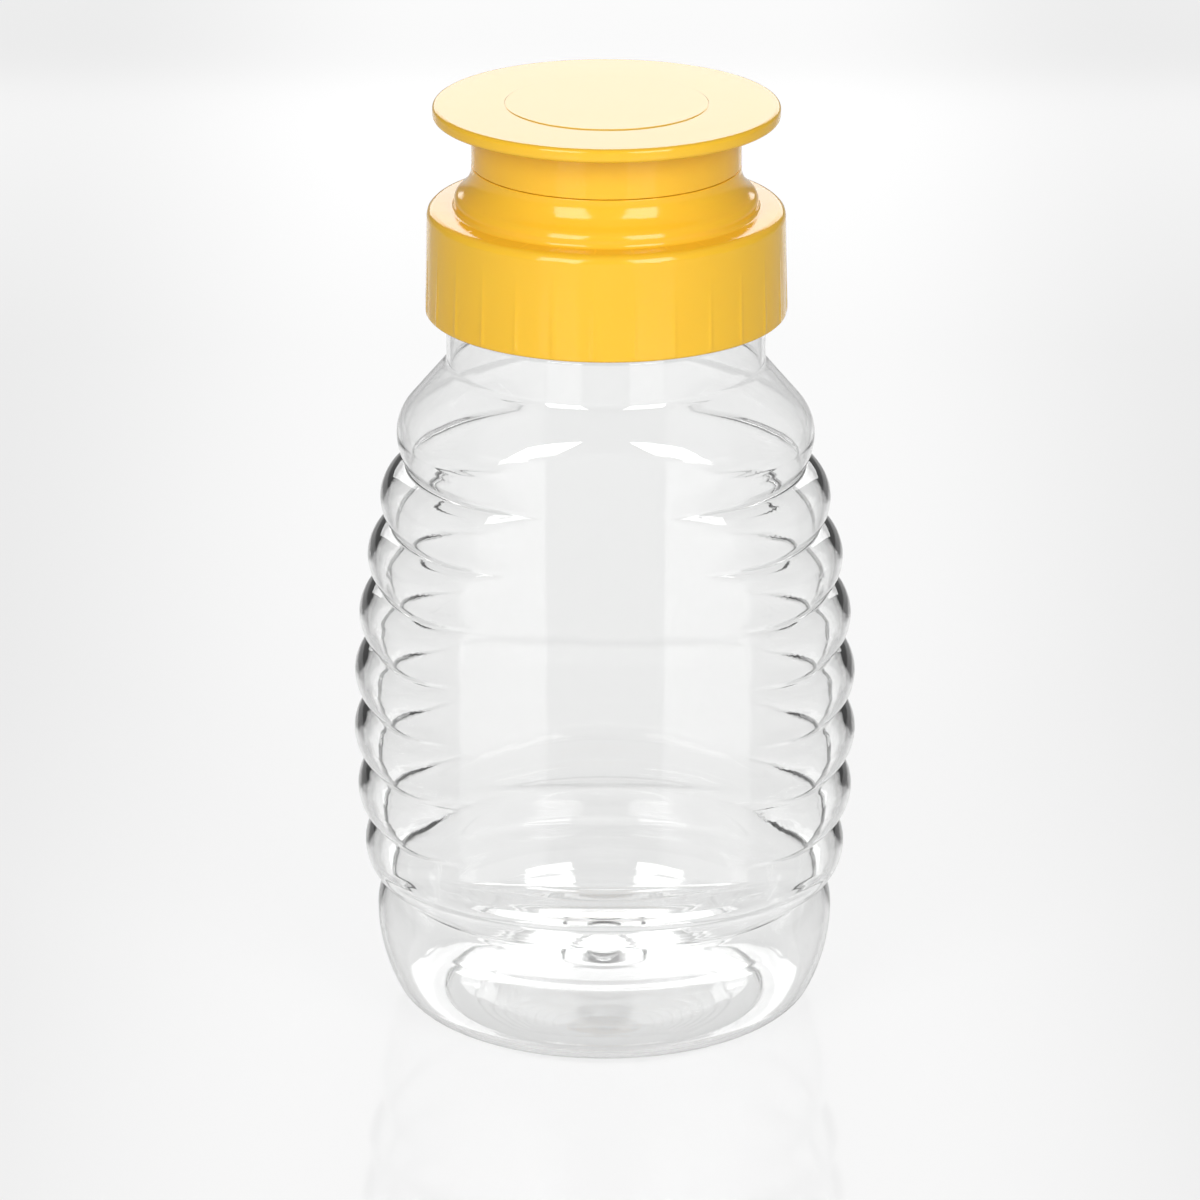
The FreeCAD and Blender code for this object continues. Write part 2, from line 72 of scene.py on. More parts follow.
# %% [markdown]
# ## Shader maths that reads like maths
# A procedural finish is a chain of small sums. This wrapper lets the chain be written as
# Python expressions: every operator adds one Math node. Any other node comes from `add`,
# which takes the node's type, its settings and what goes into its sockets.

# %% A socket that understands arithmetic
class Wire:
    """One output socket in a node tree; sums with it add nodes."""

    def __init__(self, tree, socket=None):
        self.tree = tree
        self.socket = socket

    def add(self, kind, settings=None, output=0, **inputs):
        """A node of that kind; an input's name is its socket's, with _ for a space."""
        node = self.tree.nodes.new("ShaderNode" + kind)
        for key, value in (settings or {}).items():
            setattr(node, key, value)
        for key, value in inputs.items():
            name = key.replace("_", " ")
            socket = node.inputs[int(name[2:])] if name.startswith("at") else node.inputs[name]
            if isinstance(value, Wire):
                self.tree.links.new(value.socket, socket)
            else:
                socket.default_value = value
        return Wire(self.tree, node.outputs[output])

    def math(self, operation, first, second=0.0):
        return self.add("Math", {"operation": operation}, at0=first, at1=second)

    def __add__(self, other):
        return self.math("ADD", self, other)

    def __radd__(self, other):
        return self.math("ADD", other, self)

    def __sub__(self, other):
        return self.math("SUBTRACT", self, other)

    def __rsub__(self, other):
        return self.math("SUBTRACT", other, self)

    def __mul__(self, other):
        return self.math("MULTIPLY", self, other)

    def __rmul__(self, other):
        return self.math("MULTIPLY", other, self)

    def noise(self, coordinates, scale, detail):
        """Cloudy values round a half."""
        return self.add("TexNoise", Vector=coordinates, Scale=scale, Detail=detail)

    def blend(self, factor, first, second):
        """One colour to another."""
        return self.add("Mix", {"data_type": "RGBA"}, output=2, at0=factor, at6=first, at7=second)


def new_material(name):
    """An empty material: its wire tool, its shader node and its object coordinates."""
    material = bpy.data.materials.new(name)
    material.use_nodes = True
    tree = material.node_tree
    shader = tree.nodes["Principled BSDF"]
    wire = Wire(tree)
    place = wire.add("TexCoord", output=3)
    return material, shader, wire, place


def plug(wire, value, socket):
    """Connect a wire to one socket of a shader."""
    wire.tree.links.new(value.socket, socket)


def linear(red, green, blue):
    """A colour given as 0 to 255, as the renderer's linear light."""
    parts = [part / 255 for part in (red, green, blue)]
    light = [p / 12.92 if p <= 0.04045 else ((p + 0.055) / 1.055) ** 2.4 for p in parts]
    return (*light, 1)

# %% [markdown]
# ## Clear blown plastic
# The bottle is PET, blown hot into a cold mould. It comes out nearly optically clear, but the
# wall drifts a little in thickness, so what is seen through it wavers. Real refraction
# needs a solid wall, a transmission of one and the plastic's own bending power. A slow
# noise as bump gives the waver, and a second one keeps the gloss from being perfect.

# %% Clear plastic
clear_plastic, shader, wire, place = new_material("clear blown plastic")
shader.inputs["Base Color"].default_value = (0.965, 0.967, 0.965, 1)
shader.inputs["Transmission Weight"].default_value = 1
shader.inputs["IOR"].default_value = 1.575
drift = wire.noise(place, 45, 2)
plug(wire, 0.012 + 0.03 * wire.noise(place, 160, 3), shader.inputs["Roughness"])
plug(wire, wire.add("Bump", Height=drift, Strength=0.12, Distance=0.0006), shader.inputs["Normal"])

# %% [markdown]
# ## Moulded yellow plastic
# Cap and lid are polypropylene, coloured through. Up close such a moulding is neither flat
# nor even: the steel leaves a very fine grain, and the gloss varies where the melt flowed.
# The colour drifts by a percent or so. Painting a flat yellow would look like card.

# %% Yellow plastic
YELLOW = linear(250, 198, 52)
YELLOW_DEEP = linear(247, 192, 46)
FILM_YELLOW = linear(252, 200, 70)
FILM_WHITENED = linear(253, 216, 120)


def moulded(name, colour, deep, gloss, grain):
    """Coloured plastic with a drift of colour, uneven gloss and a fine moulded grain."""
    material, shader, wire, place = new_material(name)
    cloud = wire.noise(place, 60, 3)
    fine = wire.noise(place, 2600, 2)
    plug(wire, wire.blend(cloud, colour, deep), shader.inputs["Base Color"])
    plug(wire, gloss - 0.04 + 0.08 * wire.noise(place, 220, 4), shader.inputs["Roughness"])
    plug(wire, wire.add("Bump", Height=fine + 0.6 * cloud, Strength=grain, Distance=0.00004),
         shader.inputs["Normal"])
    return material, shader, wire


yellow_plastic, shader, wire = moulded("moulded yellow plastic", YELLOW, YELLOW_DEEP, 0.12, 0.1)
shader.inputs["IOR"].default_value = 1.49
shader.inputs["Subsurface Weight"].default_value = 0.08
shader.inputs["Subsurface Radius"].default_value = (0.002, 0.001, 0.0003)
film_plastic, shader, wire = moulded("flexed yellow film", FILM_YELLOW, FILM_WHITENED, 0.34, 0.35)
shader.inputs["Subsurface Weight"].default_value = 0.15
shader.inputs["Subsurface Radius"].default_value = (0.002, 0.0012, 0.0005)

# %% [markdown]
# ## The small parts inside
# Three pieces hide in the cap: a milky silicone valve, a ring of undyed plastic that holds
# it, and a foam washer under the deck. Each differs in how far light sinks in and in its
# surface: silicone is soft and slightly dusty, foam shows its cells.

# %% Silicone, undyed plastic and foam
silicone, shader, wire, place = new_material("milky silicone")
plug(wire, wire.blend(wire.noise(place, 300, 3), linear(232, 232, 226), linear(222, 223, 218)),
     shader.inputs["Base Color"])
plug(wire, 0.34 + 0.16 * wire.noise(place, 500, 3), shader.inputs["Roughness"])
shader.inputs["IOR"].default_value = 1.41
shader.inputs["Subsurface Weight"].default_value = 0.6
shader.inputs["Subsurface Radius"].default_value = (0.002, 0.0019, 0.0017)

undyed_plastic, shader, wire = moulded(
    "undyed plastic", linear(238, 235, 226), linear(231, 228, 217), 0.36, 0.3)
shader.inputs["Subsurface Weight"].default_value = 0.25
shader.inputs["Subsurface Radius"].default_value = (0.0015, 0.0014, 0.0012)

foam, shader, wire, place = new_material("white foam sheet")
cells = wire.add("TexVoronoi", Vector=place, Scale=2400)
plug(wire, wire.blend(cells, linear(244, 244, 240), linear(222, 222, 216)),
     shader.inputs["Base Color"])
plug(wire, wire.add("Bump", Height=cells, Strength=0.5, Distance=0.0001), shader.inputs["Normal"])
plug(wire, 0.7 + 0.2 * cells, shader.inputs["Roughness"])
print("materials", len(bpy.data.materials))

# %% [markdown]
# ## Turned shapes from a drawn profile
# Nearly everything here is round, so it is drawn as half a section and spun about the axis.
# The drawing holds only real corners. A corner with a third number is rounded by that
# much before the spin, with a vertex bevel: on a thin wire that is a fillet.

# %% Draw, round and spin
def through(first, middle, last, count):
    """Points of the arc from first by way of middle to last, leaving out the first."""
    (ax, az), (bx, bz), (cx, cz) = first, middle, last
    d = 2 * (ax * (bz - cz) + bx * (cz - az) + cx * (az - bz))
    a, b, c = ax * ax + az * az, bx * bx + bz * bz, cx * cx + cz * cz
    ux = (a * (bz - cz) + b * (cz - az) + c * (az - bz)) / d
    uz = (a * (cx - bx) + b * (ax - cx) + c * (bx - ax)) / d
    radius = math.hypot(ax - ux, az - uz)
    start = math.atan2(az - uz, ax - ux)
    sweep = (math.atan2(cz - uz, cx - ux) - start) % math.tau
    halfway = (math.atan2(bz - uz, bx - ux) - start) % math.tau
    if halfway > sweep:
        sweep -= math.tau
    turns = [start + sweep * i / count for i in range(1, count + 1)]
    return [(ux + radius * math.cos(t), uz + radius * math.sin(t)) for t in turns]


def rows(first, last, count):
    """Evenly spaced points on a straight line, leaving out the first."""
    steps = [i / count for i in range(1, count + 1)]
    return [tuple(a + (b - a) * s for a, b in zip(first, last)) for s in steps]


def turned(points, steps, segments=3):
    """A bmesh spun from a half section."""
    bm = bmesh.new()
    verts = [bm.verts.new((point[0], 0, point[1])) for point in points]
    for pair in zip(verts, verts[1:]):
        bm.edges.new(pair)
    for vert, point in zip(verts, points):
        if len(point) > 2:
            bmesh.ops.bevel(bm, geom=[vert], offset=point[2], offset_type="OFFSET",
                            segments=segments, profile=0.5, affect="VERTICES", material=-1)
    bmesh.ops.spin(bm, geom=bm.verts[:] + bm.edges[:], cent=(0, 0, 0), axis=(0, 0, 1),
                   angle=math.tau, steps=steps, use_merge=True)
    bmesh.ops.remove_doubles(bm, verts=bm.verts, dist=0.0004)
    bmesh.ops.recalc_face_normals(bm, faces=bm.faces)
    return bm


def finished(bm, name, material, body, nodes):
    """Scale to metres, shade smooth with even normals, and put the piece on its body."""
    bmesh.ops.scale(bm, vec=(MM, MM, MM), verts=bm.verts)
    mesh = bpy.data.meshes.new(name)
    bm.to_mesh(mesh)
    bm.free()
    mesh.shade_smooth()
    mesh.materials.append(material)
    piece = bpy.data.objects.new(name, mesh)
    bpy.context.scene.collection.objects.link(piece)
    even = piece.modifiers.new("even normals", "WEIGHTED_NORMAL")
    even.weight = 60
    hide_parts(*nodes)
    if body:
        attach(piece, body)
    print(name, "triangles", sum(len(p.vertices) - 2 for p in mesh.polygons))
    return piece

# %% [markdown]
# ## The bottle's section
# Seven ribs ride on one large barrel curve. Each is an arc from crease to crest to crease.
# The skin is drawn twice, outside and inside, because clear plastic shows both faces.
# A helper gives either skin: `inset` is how far in it lies.

# %% Sizes of the bottle
RIM_Z = bottle_high.z
WALL, FLOOR = 0.75, 1.1
DOME_HEIGHT, DOME_EDGE_Z, DOME_R = 5.4, 1.5, 21.96
FOOT_IN_R, HEEL_R = 23.16, 25.46
BASE_CREST_Z, BASE_CURVE = 14.1, 24.6
BARREL_R, BARREL_MID_Z, BARREL_CURVE = 36.51, 44.1, 140
RIB_COUNT, RIB_PITCH, CREASE_DEPTH = 7, 8.97, 2.67
LOW_CREASE_Z = BASE_CREST_Z + 5.09
LOW_CREST_Z = LOW_CREASE_Z + RIB_PITCH / 2
CREASE_ROUND = 0.55
SHOULDER_Z = LOW_CREASE_Z + RIB_COUNT * RIB_PITCH + 4.62
SHOULDER_CURVE, SHOULDER_SLOPE = 6.0, math.radians(40.2)
NECK_R, NECK_CURVE, FINISH_WALL = 22.85, 1.4, 1.6
CONE_ROWS = 10
FINISH_Z = RIM_Z - 12.1


def barrel(z):
    """Radius of the barrel curve at a height."""
    return BARREL_R - BARREL_CURVE + math.sqrt(BARREL_CURVE ** 2 - (z - BARREL_MID_Z) ** 2)


BASE_CREST_R = barrel(BASE_CREST_Z)
SHOULDER_R = barrel(SHOULDER_Z) + 0.15
print("shoulder %.2f at %.2f, base %.2f" % (SHOULDER_R, SHOULDER_Z, BASE_CREST_R))

# %% [markdown]
# The section is a chain of arcs and one straight cone, walked from the heel up to the neck.
# The cone gets rows of its own: the panels press into it later, and a surface can only
# bend where it has points.

# %% Section of one skin
def around(centre, radius, start, end, count):
    """Points of an arc about a centre, with both ends."""
    turns = [start + (end - start) * i / count for i in range(count + 1)]
    return [(centre[0] + radius * math.cos(t), centre[1] + radius * math.sin(t)) for t in turns]


def skin_section(inset, fineness):
    """Heel to neck of the outer skin, or of the inner one that lies inset within it."""
    band = (BASE_CREST_R - BASE_CURVE, BASE_CREST_Z)
    reach = HEEL_R - band[0]
    heel_curve = BASE_CURVE ** 2 - reach ** 2 - BASE_CREST_Z ** 2
    heel_curve /= 2 * (BASE_CURVE - BASE_CREST_Z)
    join = math.atan2(heel_curve - band[1], HEEL_R - band[0])
    heel = (HEEL_R, heel_curve)
    points = around(heel, heel_curve - inset, -math.pi / 2, join, 8 * fineness)
    points += around(band, BASE_CURVE - inset, join, 0, 8 * fineness)[1:]
    rib_crests = [barrel(LOW_CREST_Z + i * RIB_PITCH) for i in range(RIB_COUNT)]
    crests = [BASE_CREST_R] + rib_crests + [SHOULDER_R]
    creases = [((crests[i] + crests[i + 1]) / 2 - CREASE_DEPTH - inset,
                LOW_CREASE_Z + i * RIB_PITCH) for i in range(RIB_COUNT + 1)]
    base_crest = (BASE_CREST_R - inset, BASE_CREST_Z)
    mirror = (creases[0][0], 2 * BASE_CREST_Z - creases[0][1])
    points += through(mirror, base_crest, creases[0], 12 * fineness)[6 * fineness:]
    points[-1] += (CREASE_ROUND,)
    for i in range(RIB_COUNT):
        crest = (crests[i + 1] - inset, LOW_CREST_Z + i * RIB_PITCH)
        count = 14 * fineness if i == 0 else 6 * fineness
        points += through(creases[i], crest, creases[i + 1], count)
        points[-1] += (CREASE_ROUND,)
    shoulder = (SHOULDER_R - inset, SHOULDER_Z)
    mirror = (creases[-1][0], 2 * SHOULDER_Z - creases[-1][1])
    points += through(creases[-1], shoulder, mirror, 8 * fineness)[:4 * fineness]
    over = (SHOULDER_R - SHOULDER_CURVE, SHOULDER_Z)
    points += around(over, SHOULDER_CURVE - inset, 0, SHOULDER_SLOPE, 9 * fineness)[1:]
    brow_r = SHOULDER_R - SHOULDER_CURVE * (1 - math.cos(SHOULDER_SLOPE))
    brow_z = SHOULDER_Z + SHOULDER_CURVE * math.sin(SHOULDER_SLOPE)
    corner_z = brow_z + (brow_r - NECK_R) / math.tan(SHOULDER_SLOPE)
    hollow = (NECK_R + NECK_CURVE, corner_z + NECK_CURVE * math.tan(SHOULDER_SLOPE / 2))
    neck = around(hollow, NECK_CURVE + inset, math.pi + SHOULDER_SLOPE, math.pi, 4 * fineness)
    return points + rows(points[-1], neck[0], CONE_ROWS) + neck[1:]


NECK_LOW_Z = skin_section(0, 1)[-1][1]
print("section", len(skin_section(0, 2)), "points; neck from %.2f" % NECK_LOW_Z)

# %% [markdown]
# ## Pressing in the label panels
# Front and back, the mould holds two shallow-curved panels that interrupt the ribs, and
# the lowest crease fades out beneath them. Cutting these with a solid would leave hard
# edges. Instead each point of the spun skin asks how far from the axis it may lie. Soft
# versions of min and max turn the places where two surfaces meet into small fillets. At
# the top a panel simply runs up into the shoulder's cone, which gives it an arched edge.
# Below, the front panel ends in a shelf, and the back one in a rounder, steeper slope,
# because through the front no line of it shows.

# %% Panels and run-outs
PANEL_DEPTH, PANEL_CURVE = BARREL_R - 9.91, 58.0
PANEL_LOW_Z = LOW_CREST_Z + 2.72
FRONT_SLOPE, BACK_SLOPE = 0.27, 1.0
FRONT_FILLET, BACK_FILLET = 1.4, 6.0
RIB_EDGE, MIDDLE_EDGE, SHOULDER_EDGE = 3.2, 0.8, 1.25
EDGE_GROWTH, ARCH_START, ARCH_RISE = 8, 3, 4
RUNOUT_R = 28.6
RUNOUT_FORWARD = 5.9
RUNOUT_BLEND, RUNOUT_EDGE = 2.0, 1.4
RUNOUT_FOOT = (BASE_CREST_R, BASE_CREST_Z + 0.5)
RUNOUT_HEAD = (barrel(LOW_CREST_Z) - 0.12, LOW_CREST_Z - 0.78)


def soft_min(a, b, reach):
    """The smaller of two lengths, eased where they are close."""
    h = max(reach - abs(a - b), 0) / reach
    return min(a, b) - h * h * reach / 4


def soft_max(a, b, reach):
    """The larger of two lengths, eased where they are close."""
    return -soft_min(-a, -b, reach)


def pressed_radius(r, z, facing, front, inset):
    """Where a point lies once the panels are pressed in; facing is 1 at front and back."""
    slope, fillet = (FRONT_SLOPE, FRONT_FILLET) if front else (BACK_SLOPE, BACK_FILLET)
    across = 1 - facing * facing
    slope_z = (z - RUNOUT_FOOT[1]) / (RUNOUT_HEAD[1] - RUNOUT_FOOT[1])
    if -0.2 < slope_z < 1.05:
        cone = RUNOUT_FOOT[0] + (RUNOUT_HEAD[0] - RUNOUT_FOOT[0]) * slope_z
        plan = RUNOUT_FORWARD * facing + math.sqrt(RUNOUT_R ** 2 - RUNOUT_FORWARD ** 2 * across)
        r = soft_max(r, soft_min(cone, plan, RUNOUT_BLEND) - inset, RUNOUT_EDGE)
    behind = PANEL_CURVE - PANEL_DEPTH
    panel = math.sqrt(PANEL_CURVE ** 2 - behind ** 2 * across) - behind * facing - inset
    shelf = PANEL_DEPTH + (PANEL_LOW_Z - inset - z) / slope
    climb = min(max((z - SHOULDER_Z + ARCH_START) / ARCH_RISE, 0), 1)
    side_edge = min(RIB_EDGE, MIDDLE_EDGE + EDGE_GROWTH * across)
    edge = side_edge + (SHOULDER_EDGE - side_edge) * climb
    return soft_min(r, soft_max(panel, shelf, fillet), edge)


CROWDING = 0.25


def press_panels(bm, inset):
    """Crowd the columns towards the ribbed sides, then press in both panels."""
    for vert in bm.verts:
        x, y, z = vert.co
        r = math.hypot(x, y)
        if r < 1:
            continue
        turn = math.atan2(y, x)
        turn -= CROWDING * math.sin(2 * turn)
        if BASE_CREST_Z < z < NECK_LOW_Z:
            r = pressed_radius(r, z, abs(math.sin(turn)), y < 0, inset)
        vert.co = (r * math.cos(turn), r * math.sin(turn), z)

# %% [markdown]
# ## Neck thread
# The cap climbs one pitch for each turn on a single-start thread. A thread is a bump that
# winds: at any height and direction, the distance to the nearest winding decides how
# far the surface stands out. The ends fade, as on a real moulded neck.

# %% Thread
PITCH = 4.233
THREAD_LOW_Z, THREAD_TURNS = 107.2, 1.75
FADE_TURNS, FLANK = 0.12, 1.6


def thread_stand(turn, z, low_z, turns, width):
    """0 to 1: how much of the thread's height stands at this direction and height."""
    best = 0
    for wind in range(-1, int(turns) + 2):
        along = wind + (turn % math.tau) / math.tau
        if not 0 <= along <= turns:
            continue
        off = abs(z - low_z - along * PITCH) / (width / 2)
        fade = min(along, turns - along, FADE_TURNS) / FADE_TURNS
        best = max(best, min(1, max(0, FLANK - FLANK * off)) * fade)
    return best


def wind_thread(bm, low_r, high_r, low_z, turns, height, width):
    """Raise a winding ridge on the points that lie between two radii; inwards if height < 0."""
    for vert in bm.verts:
        r = math.hypot(vert.co.x, vert.co.y)
        if low_r < r < high_r:
            turn = math.atan2(vert.co.y, vert.co.x)
            grown = 1 + height * thread_stand(turn, vert.co.z, low_z, turns, width) / r
            vert.co = (vert.co.x * grown, vert.co.y * grown, vert.co.z)

# %% [markdown]
# ## The bottle
# Outer and inner skin are spun and pressed apart from each other, and then joined at the
# rim. Light needs a wall with two faces: the outer skin looks away from the axis and the
# inner one towards it. Normals recalculated on an open bowl may come out either way, so
# the widest face decides. The wall's volume proves it: a wrong skin would give the
# volume of the whole inside.

# %% Bottle
STEPS = 236
GATE_R, GATE_RING_R = 2.4, 6.2


def face_axis(bm, towards):
    """Make an open skin look at the axis, or away from it."""
    bm.normal_update()
    widest = max(bm.faces, key=lambda face: face.calc_center_median().xy.length)
    if (widest.normal.dot(widest.calc_center_median()) < 0) != towards:
        bmesh.ops.reverse_faces(bm, faces=bm.faces)


outer = [(0, DOME_HEIGHT - 0.6), (GATE_R - 0.6, DOME_HEIGHT - 0.6)]
outer += [(GATE_R, DOME_HEIGHT - 0.05, 0.3), (GATE_RING_R - 0.5, DOME_HEIGHT - 0.15, 0.3),
          (GATE_RING_R, DOME_HEIGHT - 0.5, 0.25)]
outer += through(outer[-1][:2], (14, 3.85), (DOME_R, DOME_EDGE_Z), 8)
outer += [(FOOT_IN_R, 0, 0.3)]
outer += skin_section(0, 2)
outer += rows(outer[-1], (NECK_R, FINISH_Z - 0.5), 2)
outer += rows(outer[-1], (NECK_R, RIM_Z - 1.6), 22)
outer += [(NECK_R, RIM_Z, 0.4), (NECK_R - 0.7, RIM_Z)]
bottle_mesh = turned(outer, STEPS)
press_panels(bottle_mesh, 0)
wind_thread(bottle_mesh, NECK_R - 0.05, NECK_R + 0.05, THREAD_LOW_Z,
            turns=THREAD_TURNS, height=0.8, width=2.0)
face_axis(bottle_mesh, False)

inner = [(0, DOME_HEIGHT + FLOOR)]
inner += through(inner[-1], (14, 3.95 + FLOOR), (DOME_R, DOME_EDGE_Z + FLOOR), 5)
inner += [(FOOT_IN_R + FLOOR / 2, WALL, 0.3)]
inner += skin_section(WALL, 1)
inner += [(NECK_R - WALL, FINISH_Z - 2, 0.3), (NECK_R - FINISH_WALL, FINISH_Z, 0.3),
          (NECK_R - FINISH_WALL, RIM_Z, 0.3), (NECK_R - 1.0, RIM_Z)]
inner_mesh = turned(inner, STEPS, segments=2)
press_panels(inner_mesh, WALL)
face_axis(inner_mesh, True)

lining = bpy.data.meshes.new("lining")
inner_mesh.to_mesh(lining)
inner_mesh.free()
bottle_mesh.from_mesh(lining)
rims = [edge for edge in bottle_mesh.edges if edge.is_boundary]
bmesh.ops.bridge_loops(bottle_mesh, edges=rims)
print("wall of %.1f cubic centimetres" % (bottle_mesh.calc_volume(signed=True) / 1000))
bottle = finished(bottle_mesh, "clear_bottle", clear_plastic, "bottle", ["bottle"])

# %% [markdown]
# ## The cap
# One moulding: a skirt with fine grip ridges that fade upwards, a ledge, a bell-shaped
# tower and the seat for the valve. The section runs up the outside and down the inside.

# %% Section of the cap
SKIRT_LOW_Z, SKIRT_LOW_R = cap_low.z, cap_high.x
LEDGE_Z = SKIRT_LOW_Z + 15.4
SKIRT_TOP_R, BORE_R = SKIRT_LOW_R - 0.28, NECK_R + 1.15
TOWER_FOOT_R, TOWER_TOP_R = SKIRT_TOP_R - 3.86, SKIRT_TOP_R - 6.36
BELL_LOW_Z, BELL_H = LEDGE_Z + 0.9, 5.0
SEAT_Z = lid_low.z - 0.1
TRAY_Z, DECK_LOW_Z = SEAT_Z - 0.45, RIM_Z + 1
COLLAR_R, COLLAR_IN_R, COLLAR_TOP_Z = TOWER_TOP_R - 1.8, TOWER_TOP_R - 3.1, SEAT_Z + 1.35
BOSS_TOP_Z, BOSS_R, POCKET_R, ORIFICE_R = cap_high.z, 9.4, 8.0, 6.2
POCKET_Z = TRAY_Z + 0.8
LIP_R, LIP_IN_R = NECK_R - FINISH_WALL - 0.2, NECK_R - FINISH_WALL - 1.2
LIP_LOW_Z = DECK_LOW_Z - 2.4
TOWER_WALL, TRAY_T = 1.5, 1.3

BELL_W, HOLLOW_BEND = TOWER_FOOT_R - TOWER_TOP_R, 4.5
both_bends = (BELL_H * BELL_H + BELL_W * BELL_W) / (2 * BELL_W)
bell_turn = math.asin(BELL_H / both_bends)


def bell(inset, count):
    """Round curve under a hollow one, from the tower's foot to its top."""
    round_bend = both_bends - HOLLOW_BEND
    low = around((TOWER_FOOT_R - round_bend, BELL_LOW_Z), round_bend - inset, 0, bell_turn, count)
    high = around((TOWER_TOP_R + HOLLOW_BEND, BELL_LOW_Z + BELL_H), HOLLOW_BEND + inset,
                  math.pi + bell_turn, math.pi, count)
    return low + high[1:]


cap_section = [(BORE_R, SKIRT_LOW_Z, 0.25), (SKIRT_LOW_R, SKIRT_LOW_Z, 0.35)]
cap_section += rows((SKIRT_LOW_R, SKIRT_LOW_Z), (SKIRT_TOP_R, LEDGE_Z - 1.2), 16)
cap_section += [(SKIRT_TOP_R, LEDGE_Z, 1.1), (TOWER_FOOT_R, LEDGE_Z, 0.5)]
cap_section += bell(0, 10)
cap_section += [(TOWER_TOP_R, SEAT_Z, 0.12), (COLLAR_R, SEAT_Z, 0.12),
                (COLLAR_R, COLLAR_TOP_Z, 0.3), (COLLAR_IN_R, COLLAR_TOP_Z, 0.3),
                (COLLAR_IN_R, TRAY_Z, 0.3), (BOSS_R, TRAY_Z, 0.3), (BOSS_R, BOSS_TOP_Z, 0.2),
                (POCKET_R, BOSS_TOP_Z, 0.2), (POCKET_R, POCKET_Z),
                (ORIFICE_R, POCKET_Z, 0.1), (ORIFICE_R, TRAY_Z - TRAY_T, 0.3)]
tower_inside = bell(TOWER_WALL, 6)
cap_section += [(tower_inside[-1][0], TRAY_Z - TRAY_T, 0.4)] + tower_inside[::-1]
cap_section += [(tower_inside[0][0], DECK_LOW_Z), (LIP_IN_R, DECK_LOW_Z - 0.05),
                (LIP_IN_R, LIP_LOW_Z, 0.2), (LIP_R, LIP_LOW_Z, 0.2), (LIP_R, DECK_LOW_Z, 0.2),
                (BORE_R, DECK_LOW_Z, 0.3)]
cap_section += rows((BORE_R, DECK_LOW_Z - 1), (BORE_R, SKIRT_LOW_Z + 1), 22)
cap_section += [(BORE_R, SKIRT_LOW_Z, 0.25)]
print("cap section", len(cap_section), "points")

# %% [markdown]
# The grips are low and narrow, so the columns of the spun mesh are first crowded towards
# them. A squared cosine gives each ridge soft flanks, and its height fades upwards.

# %% Cap with grip ridges and thread
GRIPS, GRIP_H, GRIP_HALF_W = 28, 0.14, 0.5
GRIP_CROWDING, GRIP_RUN_IN, COLUMNS = 0.7, 12, 12
GRIP_TOP_Z = SKIRT_LOW_Z + 12.5
FIRST_GRIP = math.radians(-81)
PAD_X, PAD_Y, PAD_DEPTH = 8.0, TOWER_TOP_R + 0.35, 3.4
PAD_LOW_Z = SEAT_Z - 3.85


def pad(bm, low_z, high_z):
    """Flat pad at the back that carries the hinge, its edges broken."""
    middle = Vector((0, PAD_Y - PAD_DEPTH / 2, (low_z + high_z) / 2))
    size = Matrix.Diagonal((2 * PAD_X, PAD_DEPTH, high_z - low_z, 1))
    made = bmesh.ops.create_cube(bm, size=1, matrix=Matrix.Translation(middle) @ size)
    edges = {edge for vert in made["verts"] for edge in vert.link_edges}
    bmesh.ops.bevel(bm, geom=list(edges), offset=0.2, offset_type="OFFSET", segments=2,
                    profile=0.5, affect="EDGES", material=-1)


def raise_grips(bm):
    """Crowd the columns at the ridges, then raise fine ridges that fade upwards."""
    for vert in bm.verts:
        r = math.hypot(vert.co.x, vert.co.y)
        off = math.atan2(vert.co.y, vert.co.x) - FIRST_GRIP
        off -= GRIP_CROWDING * math.sin(GRIPS * off) / GRIPS
        climb = (vert.co.z - SKIRT_LOW_Z) / (GRIP_TOP_Z - SKIRT_LOW_Z)
        if r > SKIRT_TOP_R - 0.1 and 0.02 < climb < 1:
            across = abs(math.remainder(off, math.tau / GRIPS)) * r / GRIP_HALF_W
            ridge = math.cos(min(across, 1) * math.pi / 2) ** 2
            r += GRIP_H * ridge * min(1, climb * GRIP_RUN_IN) * (1 - climb)
        turn = off + FIRST_GRIP
        vert.co = (r * math.cos(turn), r * math.sin(turn), vert.co.z)


cap_mesh = turned(cap_section, GRIPS * COLUMNS)
raise_grips(cap_mesh)
wind_thread(cap_mesh, BORE_R - 0.02, BORE_R + 0.02, THREAD_LOW_Z + PITCH / 2,
            turns=1.5, height=-0.75, width=1.8)
pad(cap_mesh, PAD_LOW_Z, SEAT_Z)
cap = finished(cap_mesh, "yellow_screw_cap", yellow_plastic, "cap", ["screw_cap"])

# %% [markdown]
# ## The lid
# A wide disc on a short neck. In its middle lies a low round step, of which only the
# front edge shows, as one thin line. Underneath hang a sealing ring that hugs the valve's
# boss and a small plug that keeps the slit shut.

# %% Lid
LID_STEPS = 256
PLATEAU_R, PLATEAU_H = 14.5, 0.12
LID_LOW_Z, LID_TOP_Z, DISC_R = lid_low.z, lid_high.z - PLATEAU_H, lid_high.x
DISC_LOW_Z, ROOF_Z = LID_TOP_Z - 2.0, LID_TOP_Z - 1.8
LID_NECK_IN = TOWER_TOP_R - 1.5
SEAL_R, SEAL_OUT_R, SEAL_LOW_Z = BOSS_R + 0.25, BOSS_R + 1.25, TRAY_Z + 1.4
PLUG_R, PLUG_IN_R, PLUG_LOW_Z = 4.6, 3.7, POCKET_Z + 2.1

